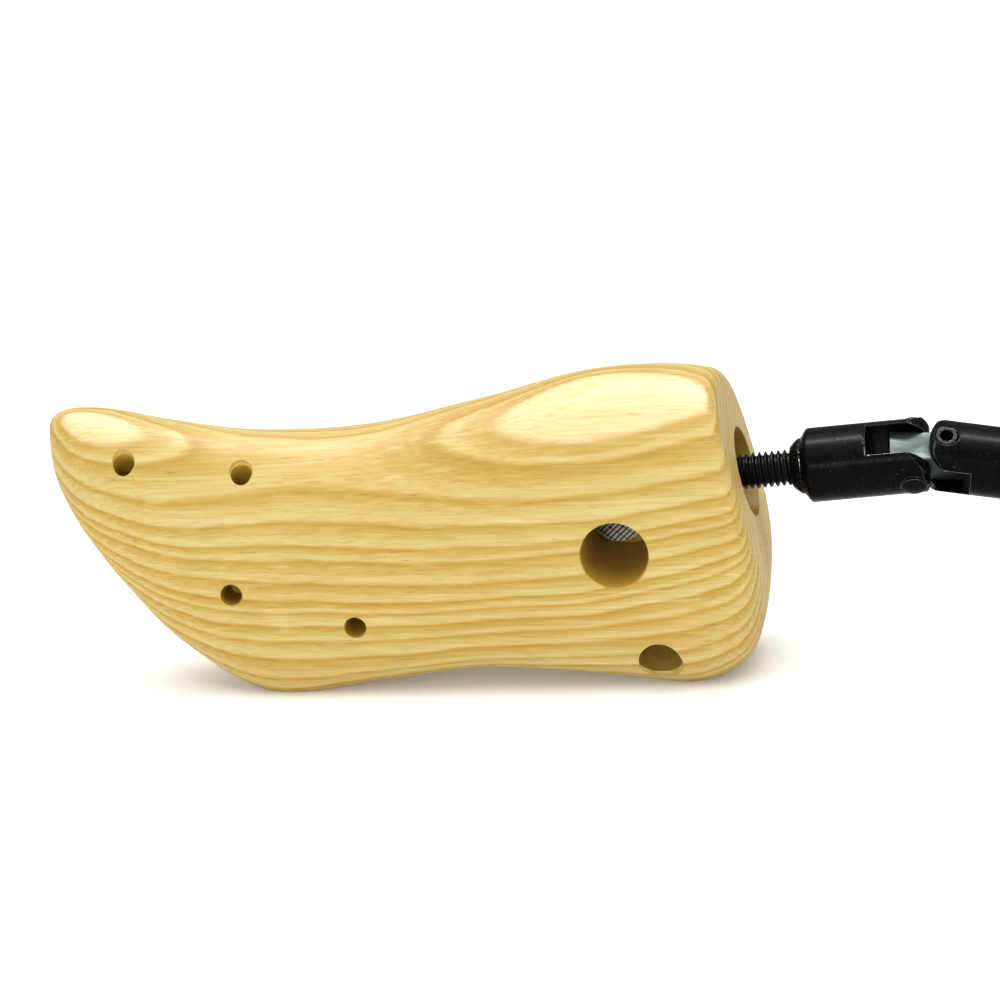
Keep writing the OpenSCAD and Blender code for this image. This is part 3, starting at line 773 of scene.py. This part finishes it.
def make_instep():
    made = half_blank("instep_wood", -1)
    x, z = ACCESS_HOLE_AT
    tools = [round_hole(made, hole[:3], hole[3], PLUG_HOLE_R, PLUG_HOLE_DEPTH, PLUG_HOLE_POINT)
             for hole in PLUG_HOLES]
    tools.append(round_hole(made, EDGE_HOLE[:3], EDGE_HOLE[3], EDGE_HOLE_R, EDGE_HOLE_DEPTH,
                            EDGE_HOLE_POINT, PINE_PAINTED_SHADE_HOLE))
    inside = -20
    tools.append(round_hole(made, (x, inside, z), 0, ACCESS_HOLE_R, PAST_SEAM - inside))
    tools += screw_way() + [wedge_pocket()] + hinge_pocket(-1)
    tools += spring_way(-1, 16.5, SPRING_PIN_Y[0]) + [toe_relief()]
    combine(made, tools)
    finish_piece(made, "instep", PINE, ["instep_half"], angle=32)


def make_sole():
    made = half_blank("sole_wood", 1)
    x, z = ACCESS_HOLE_AT
    tools = screw_way() + [guide_pocket()] + bearing_pocket()
    tools.append(bore(-PAST_SEAM, 8, ACCESS_HOLE_R, BODY, "Y", (x, 0, z)))
    tools.append(bore(-PAST_SEAM, 19, NUT_R + 0.05, BODY, "Y", (x - NUT_OFFSET, 0, z)))
    tools += hinge_pocket(1) + spring_way(1, 14.5, SPRING_PIN_Y[1])
    combine(made, tools)
    finish_piece(made, "sole", PINE, ["sole_half"], angle=32)


# ---- Barrel nut ----


def make_barrel_nut():
    """Round nut whose end is scored in two directions, fine and coarse."""
    spot = (ACCESS_HOLE_AT[0] - NUT_OFFSET, 0, ACCESS_HOLE_AT[1])
    made = rounded_bar("barrel_nut_scored", NUT_FACE, NUT_END, NUT_R, 0.5, BODY, "Y", spot)
    tools = []
    half = 0.3
    reach = NUT_R - 0.8
    for angle, pitch, depth in ((48, 1.15, 0.4), (-52, 2.3, 0.15)):
        turned = BODY @ Matrix.Translation(spot) @ Matrix.Rotation(math.radians(angle), 4, "Y")
        for k in range(-6, 7):
            across = k * pitch
            mouth = [(across - half, NUT_FACE - 0.2), (across + half, NUT_FACE - 0.2)]
            score = prism("score", mouth + [(across, NUT_FACE + depth)], -reach, reach, turned)
            # The scores' walls take the dark block steel, as painted shade in the grooves
            score.data.materials.append(BLOCK_STEEL)
            tools.append(score)
    tools.append(lathe("thread", [(-60, 3), (-20, 3)], ROD, "X", 48, LOBE))
    combine(made, tools)
    finish_piece(made, "sole", NUT_STEEL, ["barrel_nut"])


# ---- Screw ----


def make_screw():
    """Right-hand metric thread: four corners of the tooth, swept along the helix."""
    turns = int((SCREW_END - SCREW_START) / THREAD_PITCH) + 3
    root = THREAD_R - THREAD_DEPTH
    tooth = [(0.0, THREAD_R), (0.14, THREAD_R), (0.44, root), (0.7, root)]
    rows = turns * THREAD_STEPS
    points = []
    for j in range(rows + 1):
        a = math.tau * j / THREAD_STEPS
        for share, radius in tooth:
            x = SCREW_START + THREAD_PITCH * (j / THREAD_STEPS + share - 2)
            points.append((x, -radius * math.sin(a), radius * math.cos(a)))
    faces = []
    corners = len(tooth)
    for j in range(rows):
        row = j * corners
        for k in range(corners - 1):
            faces.append((row + k, row + k + 1, row + corners + k + 1, row + corners + k))
        if j + THREAD_STEPS < rows:
            above = row + THREAD_STEPS * corners
            faces.append((row + corners - 1, above, above + corners, row + 2 * corners - 1))
    # Each end closes on a point on the axis
    first_loop = [j * corners for j in range(THREAD_STEPS + 1)]
    first_loop += [corners - 1 - k for k in range(corners)][:-1]
    tail = rows - THREAD_STEPS
    last_loop = [(tail + j) * corners + corners - 1 for j in range(THREAD_STEPS + 1)]
    last_loop += [rows * corners + k for k in (2, 1, 0)]
    past_end = 4 * THREAD_PITCH
    for loop, x in ((first_loop, SCREW_START - past_end), (last_loop, SCREW_END + past_end)):
        points.append((x, 0, 0))
        tip = len(points) - 1
        faces += [(loop[k], loop[(k + 1) % len(loop)], tip) for k in range(len(loop))]
    made = mesh_object("screw_thread", points, faces, ROD)
    chamfer, spare = 1.1, 0.02
    keep = [(SCREW_START, THREAD_R - chamfer), (SCREW_START + chamfer, THREAD_R + spare),
            (SCREW_END, THREAD_R + spare)]
    combine(made, [lathe("envelope", keep, ROD, "X", 64)], "INTERSECT")
    finish_piece(made, "spindle", THREAD_STEEL, ["threaded_rod"], angle=28)


# ---- Universal joint ----


def arc(radius, first, final, steps, at=(0, 0)):
    turns = [math.radians(first + (final - first) * k / steps) for k in range(steps + 1)]
    return [(at[0] + radius * math.cos(a), at[1] + radius * math.sin(a)) for a in turns]


def closer_rings(profile, step=1.0):
    """The same profile with more rings, so that a cut disturbs only the faces beside it."""
    rings = [profile[0]]
    for start, end in zip(profile, profile[1:]):
        parts = max(1, round(abs(end[0] - start[0]) / step))
        for k in range(1, parts + 1):
            rings.append(tuple(a + (b - a) * k / parts for a, b in zip(start, end)))
    return rings


def yoke_solid(name, profile, radius, slot_depth, pin_r, frame_matrix):
    """Turned bar with its ears rounded about a pin along local Y, a slot and the pin's bore."""
    made = lathe(name, closer_rings(profile), frame_matrix, "X", 128)
    back = profile[0][0] - 2
    middle = EAR_REACH - radius
    outline = arc(radius - 0.01, -90, 90, 40, (middle, 0)) + [(back, radius + 1), (back, -radius - 1)]
    combine(made, [prism("ears", outline, -radius - 2, radius + 2, frame_matrix, "Y")], "INTERSECT")
    reach = radius + 2
    low = (-slot_depth, -SLOT_HALF, -reach)
    slot = block_solid("slot", low, (reach, SLOT_HALF, reach), frame_matrix)
    pin_bore = lathe("pin_bore", [(-reach, pin_r), (reach, pin_r)], frame_matrix, "Y", 64)
    combine(made, [slot, pin_bore])
    return made


def make_spindle_yoke():
    r = SPINDLE_YOKE_R
    nose = SPINDLE_NOSE - PIN_X
    # A chamfered collar, the rounded shoulder and the body
    profile = [(nose, 5.6), (nose + 0.4, 6.1), (nose + 1.9, 7.4), (nose + 2.5, 7.7), (nose + 3, 7.7)]
    profile += [(nose + 4.5, r - 0.5), (nose + 4.9, r - 0.12), (nose + 5.4, r)]
    profile += [(EAR_REACH - EAR_CHAMFER, r), (EAR_REACH, r - EAR_CHAMFER)]
    slot_depth = PIN_X - SPINDLE_SLOT_FLOOR
    made = yoke_solid("spindle_yoke_forged", profile, r, slot_depth, DOMED_PIN_R + 0.06, FIRST_PIN)
    # Countersink and bore for the screw
    bore_r = THREAD_R + 0.01
    mouth = [(nose - 1, THREAD_R + 1), (nose + 0.4, bore_r), (SCREW_END - PIN_X, bore_r)]
    combine(made, [lathe("screw_bore", mouth, FIRST_PIN, "X", 64)])
    round_edges(made, 0.35)
    settle(made)
    finish_piece(made, "spindle", BLACK_STEEL, ["spindle_yoke"], angle=40)


def make_domed_pin():
    flat = SPINDLE_YOKE_R + 0.2
    rise = 0.9
    dome_r = (DOMED_PIN_R ** 2 + rise ** 2) / (2 * rise)
    rim = math.asin(DOMED_PIN_R / dome_r)
    steps = 10
    dome = []
    for k in range(steps + 1):
        a = rim * k / steps
        dome.append((flat + rise - dome_r * (1 - math.cos(a)), max(0.01, dome_r * math.sin(a))))
    profile = [(-y, r) for y, r in dome] + dome[::-1]
    made = lathe("domed_pin_riveted", profile, FIRST_PIN, "Y", 64)
    finish_piece(made, "spindle", BLACK_STEEL, ["domed_pin"], angle=40)


def make_pivot_block():
    low = (-BLOCK_REACH - BLOCK_NOSE, -BLOCK_HALF, -BLOCK_HALF)
    high = (PIN_GAP + BLOCK_REACH, BLOCK_HALF, BLOCK_HALF)
    made = block_solid("pivot_block_milled", low, high, BLOCK)
    bores = []
    for pin_r, axis, x in ((DOMED_PIN_R, "Y", 0), (TUBULAR_PIN_R, "Z", PIN_GAP)):
        profile = [(end, pin_r + PIN_FIT) for end in (-8, 8)]
        bores.append(lathe("pin_bore", profile, BLOCK, axis, 64, (x, 0, 0)))
    combine(made, bores)
    round_edges(made, 0.3)
    settle(made)
    finish_piece(made, "joint_block", BLOCK_STEEL, ["pivot_block"], angle=40)


def make_tubular_pin():
    half = HANDLE_YOKE_R - 0.1
    lip = 0.25
    profile = [(-half, TUBULAR_PIN_R - lip), (-half + lip, TUBULAR_PIN_R)]
    profile += [(-x, r) for x, r in profile[::-1]]
    # The bore widens towards each end
    flare = [(half, TUBULAR_PIN_BORE + 0.5), (half - 0.4, TUBULAR_PIN_BORE + 0.1)]
    flare.append((half - 0.8, TUBULAR_PIN_BORE))
    profile += flare + [(-x, r) for x, r in flare[::-1]]
    made = lathe("tubular_pin_flared", profile, SECOND_PIN, "Z", 64, hollow=True)
    finish_piece(made, "handle", BLACK_STEEL, ["tubular_pin"], angle=40)


def make_handle_yoke():
    r = HANDLE_YOKE_R
    turned = SECOND_PIN @ Matrix.Rotation(math.pi, 4, "Z") @ Matrix.Rotation(math.pi / 2, 4, "X")
    back = -HANDLE_YOKE_LEN
    profile = [(back, SHAFT_R + 1.2), (back + 0.4, SHAFT_R + 2), (back + 3.4, r - 0.3), (back + 4, r)]
    profile += [(EAR_REACH - EAR_CHAMFER, r), (EAR_REACH, r - EAR_CHAMFER)]
    pin_r = TUBULAR_PIN_R + 0.06
    made = yoke_solid("handle_yoke_forged", profile, r, HANDLE_SLOT_DEPTH, pin_r, turned)
    socket = [(back - 1, SHAFT_R), (-SHAFT_START, SHAFT_R)]
    combine(made, [lathe("shaft_bore", socket, turned, "X", 96)])
    # Shallow countersink at each mouth of the pin's bore
    rim = TUBULAR_PIN_R
    for side in (-1, 1):
        sink = [(side * (r + 1), rim + 1.5), (side * (r - 0.55), rim)]
        combine(made, [lathe("pin_mouth", sink, turned, "Y", 64)])
    round_edges(made, 0.35)
    settle(made)
    finish_piece(made, "handle", BLACK_STEEL, ["handle_yoke"], angle=40)


# ---- Handle ----


def make_handle():
    end = SHAFT_LEN - HEAD_HALF + HEAD_SOCKET
    shaft = rounded_bar("handle_shaft_drawn", SHAFT_START, end, SHAFT_R, 0.4, SECOND_PIN)
    finish_piece(shaft, "handle", BLACK_STEEL, ["handle_shaft"])

    crown_r = 2.5
    profile = [(-HEAD_HALF, SHAFT_R + 1), (-HEAD_HALF + 1.5, HEAD_R)]
    profile += arc(crown_r, 90, 0, 8, (HEAD_HALF - 2 * crown_r, HEAD_R - crown_r))
    head = lathe("handle_head_turned", profile, BAR, "X", 128)
    reach = HEAD_R + 2
    socket = [(-HEAD_HALF - 1, SHAFT_R), (-HEAD_HALF + HEAD_SOCKET, SHAFT_R)]
    combine(head, [lathe("socket", socket, BAR, "X", 96),
                   lathe("bar_bore", [(-reach, BAR_R), (reach, BAR_R)], BAR, "Y", 64)])
    round_edges(head, 0.3)
    settle(head)
    finish_piece(head, "handle", BLACK_STEEL, ["handle_head"], angle=40)

    bar = rounded_bar("t_bar_drawn", -BAR_HALF, BAR_HALF, BAR_R, 0.6, BAR, "Y")
    finish_piece(bar, "handle", BLACK_STEEL, ["t_bar"])


def grip_profile():
    """Grip from its inner end to its closed outer end: a lip, seven shallow waists and a dome."""
    waists = 7
    first, final = GRIP_START + 3, GRIP_END - 6
    outer = [(GRIP_START, BAR_R + 0.03), (GRIP_START, GRIP_R - 1), (GRIP_START + 0.3, GRIP_R - 0.3),
             (GRIP_START + 1, GRIP_R), (GRIP_START + 2, GRIP_R)]
    steps = waists * 8
    for k in range(steps + 1):
        share = k / steps
        dip = 0.35 * (1 - math.cos(math.tau * waists * share))
        outer.append((first + (final - first) * share, GRIP_R - dip))
    outer += arc(5, 90, 0, 10, (GRIP_END - 5, GRIP_R - 5))
    outer[-1] = (GRIP_END, 5)
    return outer + [(GRIP_END, 0.01), (BAR_HALF + 0.02, 0.01), (BAR_HALF + 0.02, BAR_R + 0.03)]


def make_grips():
    for side, name in ((1, "grip_near"), (-1, "grip_far")):
        profile = [(side * y, r) for y, r in grip_profile()]
        made = lathe(name, profile, BAR, "Y", 128, hollow=True)
        finish_piece(made, "handle", PLASTIC, ["grip_sleeves"], angle=50)


# ---- Return spring ----


def make_spring():
    """Close-wound extension spring, with a hook round the pin at each end."""
    wire = 0.5
    coil_r = 3.2
    start, end = -11.0, 9.0
    turns = 15
    steps = 24
    path = []

    def hook(pin_y, side):
        """Open loop round a pin, from the coil's side to the pin's far side and back."""
        loop = []
        for degrees in [-60 + 240 * k / 14 for k in range(15)]:
            a = math.radians(degrees)
            loop.append((SPRING_X - 2.05 * math.cos(a), pin_y + side * 2.0 * math.sin(a), SPRING_Z))
        return loop

    for k in range(turns * steps + 1):
        a = math.tau * k / steps
        y = start + (end - start) * k / (turns * steps)
        path.append((SPRING_X - coil_r * math.cos(a), y, SPRING_Z + coil_r * math.sin(a)))
    path = hook(SPRING_PIN_Y[0], -1)[::-1] + path + hook(SPRING_PIN_Y[1], 1)
    made = tube("return_spring_coil", path, wire, BODY)
    made.data.materials.append(SPRING_STEEL)
    made.data.shade_smooth()
    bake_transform(made)
    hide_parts("return_spring")


# ---- CAD nodes that keep their shape ----


def dress_nodes():
    """Rounded edges and a procedural finish for the fittings inside."""
    fittings = {
        "hinge_leaf_sole": (BRIGHT_STEEL, 0.2), "hinge_leaf_instep": (BRIGHT_STEEL, 0.2),
        "hinge_pin": (BRIGHT_STEEL, 0.2), "hinge_screws_sole": (BRIGHT_STEEL, 0.15),
        "hinge_screws_instep": (BRIGHT_STEEL, 0.15), "spindle_bearing": (BLACK_STEEL, 0.4),
        "bearing_bolt": (BRIGHT_STEEL, 0.3), "guide_plate": (BRIGHT_STEEL, 0.25),
        "guide_screws": (BRIGHT_STEEL, 0.12), "ramp_plate": (BRIGHT_STEEL, 0.25),
        "ramp_screws": (BRIGHT_STEEL, 0.12), "spring_pin_sole": (BRIGHT_STEEL, 0.2),
        "spring_pin_instep": (BRIGHT_STEEL, 0.2), "thrust_collars": (BLACK_STEEL, 0.3),
        "thrust_washers": (BRONZE, 0.12), "wedge_nut": (BRIGHT_STEEL, 0.4),
    }
    for node, (material, edge) in fittings.items():
        made = frame["nodes"][node]
        made.data.materials.clear()
        made.data.materials.append(material)
        round_edges(made, edge, weld=True)


# ---- Studio ----


def make_floor():
    half = 3.0
    corners = [(-half, -half, 0), (half, -half, 0), (half, half, 0), (-half, half, 0)]
    made = mesh_object("floor", corners, [(0, 1, 2, 3)], Matrix.Identity(4))
    graph = Graph("paper_floor")
    mottle = graph.noise(graph.place(), scale=6, detail=2)
    graph.set(Base_Color=graph.mix(mottle, rgb(240, 240, 239), rgb(244, 244, 243)))
    graph.set(Roughness=0.9, Specular_IOR_Level=0.1)
    # A little light of its own keeps the shadow pale
    graph.set(Emission_Color=rgb(255, 250, 246), Emission_Strength=0.11)
    made.data.materials.append(graph.material)


def add_area(name, place, target, size, power_w):
    light = bpy.data.lights.new(name, "AREA")
    light.shape = "RECTANGLE"
    light.size, light.size_y = size
    light.energy = power_w
    made = bpy.data.objects.new(name, light)
    made.location = place
    made.rotation_euler = (Vector(target) - Vector(place)).to_track_quat("-Z", "Y").to_euler()
    bpy.context.scene.collection.objects.link(made)
    return made


HORIZON_LIGHT = 0.2
ZENITH_LIGHT = 0.95


def make_lights():
    world = bpy.data.worlds.new("studio")
    world.use_nodes = True
    tree = world.node_tree
    # Dark at the horizon, bright overhead
    spot = tree.nodes.new("ShaderNodeTexCoord")
    parts = tree.nodes.new("ShaderNodeSeparateXYZ")
    level = tree.nodes.new("ShaderNodeMapRange")
    level.inputs["From Min"].default_value = 0.0
    level.inputs["To Min"].default_value = HORIZON_LIGHT
    level.inputs["To Max"].default_value = ZENITH_LIGHT
    background = tree.nodes["Background"]
    background.inputs["Color"].default_value = (0.98, 0.99, 1.0, 1.0)
    tree.links.new(spot.outputs["Generated"], parts.inputs[0])
    tree.links.new(parts.outputs["Z"], level.inputs["Value"])
    tree.links.new(level.outputs[0], background.inputs["Strength"])
    bpy.context.scene.world = world
    add_area("overhead_softbox", (-0.1, -0.1, 2.2), (0, 0, 0), (3.0, 3.0), 72)
    add_area("key_softbox", (-0.6, -1.25, 0.78), (-0.1, 0, 0.04), (0.3, 0.3), 1.5)
    add_area("front_fill", (-0.25, -1.5, 0.42), (-0.08, 0, 0.04), (0.16, 0.16), 5)
    # Seen only in reflections, as the highlight on the black steel
    strip = add_area("overhead_strip", (0.0, 0.1, 1.1), (0, 0, 0.05), (1.3, 0.14), 44)
    strip.visible_diffuse = False


# The camera's view: from the instep side, a little above, and tilted
VIEW_AZIMUTH = math.radians(9.7)
VIEW_ELEVATION = math.radians(19)
VIEW_ROLL = math.radians(5.2)
VIEW_DISTANCE = 1.5
VIEW_LENS = 196.6
# Where the rear face's middle stands from the centre of the view
AIM_RIGHT = math.radians(2.632)
AIM_UP = math.radians(0.278)


def make_camera():
    a, e = VIEW_AZIMUTH, VIEW_ELEVATION
    ahead = Vector((-math.sin(a) * math.cos(e), math.cos(a) * math.cos(e), -math.sin(e)))
    level = Vector((math.cos(a), math.sin(a), 0))
    plumb = level.cross(ahead)
    right = math.cos(VIEW_ROLL) * level - math.sin(VIEW_ROLL) * plumb
    up = math.cos(VIEW_ROLL) * plumb + math.sin(VIEW_ROLL) * level
    ray = ahead + math.tan(AIM_RIGHT) * right + math.tan(AIM_UP) * up
    anchor = Vector((rod_start.x, 0, LEAN_HEIGHT * MM))
    lens = bpy.data.cameras.new("camera")
    lens.lens = VIEW_LENS
    lens.sensor_width = 36
    lens.clip_start = 0.05
    made = bpy.data.objects.new("camera", lens)
    turn = Matrix((right, up, -ahead)).transposed().to_4x4()
    made.matrix_world = Matrix.Translation(anchor - VIEW_DISTANCE * ray) @ turn
    bpy.context.scene.collection.objects.link(made)
    bpy.context.scene.camera = made


bpy.context.scene.view_settings.view_transform = "Standard"
make_camera()
make_instep()
make_sole()
make_barrel_nut()
make_screw()
make_spindle_yoke()
make_domed_pin()
make_pivot_block()
make_tubular_pin()
make_handle_yoke()
make_handle()
make_grips()
make_spring()
dress_nodes()
make_floor()
make_lights()
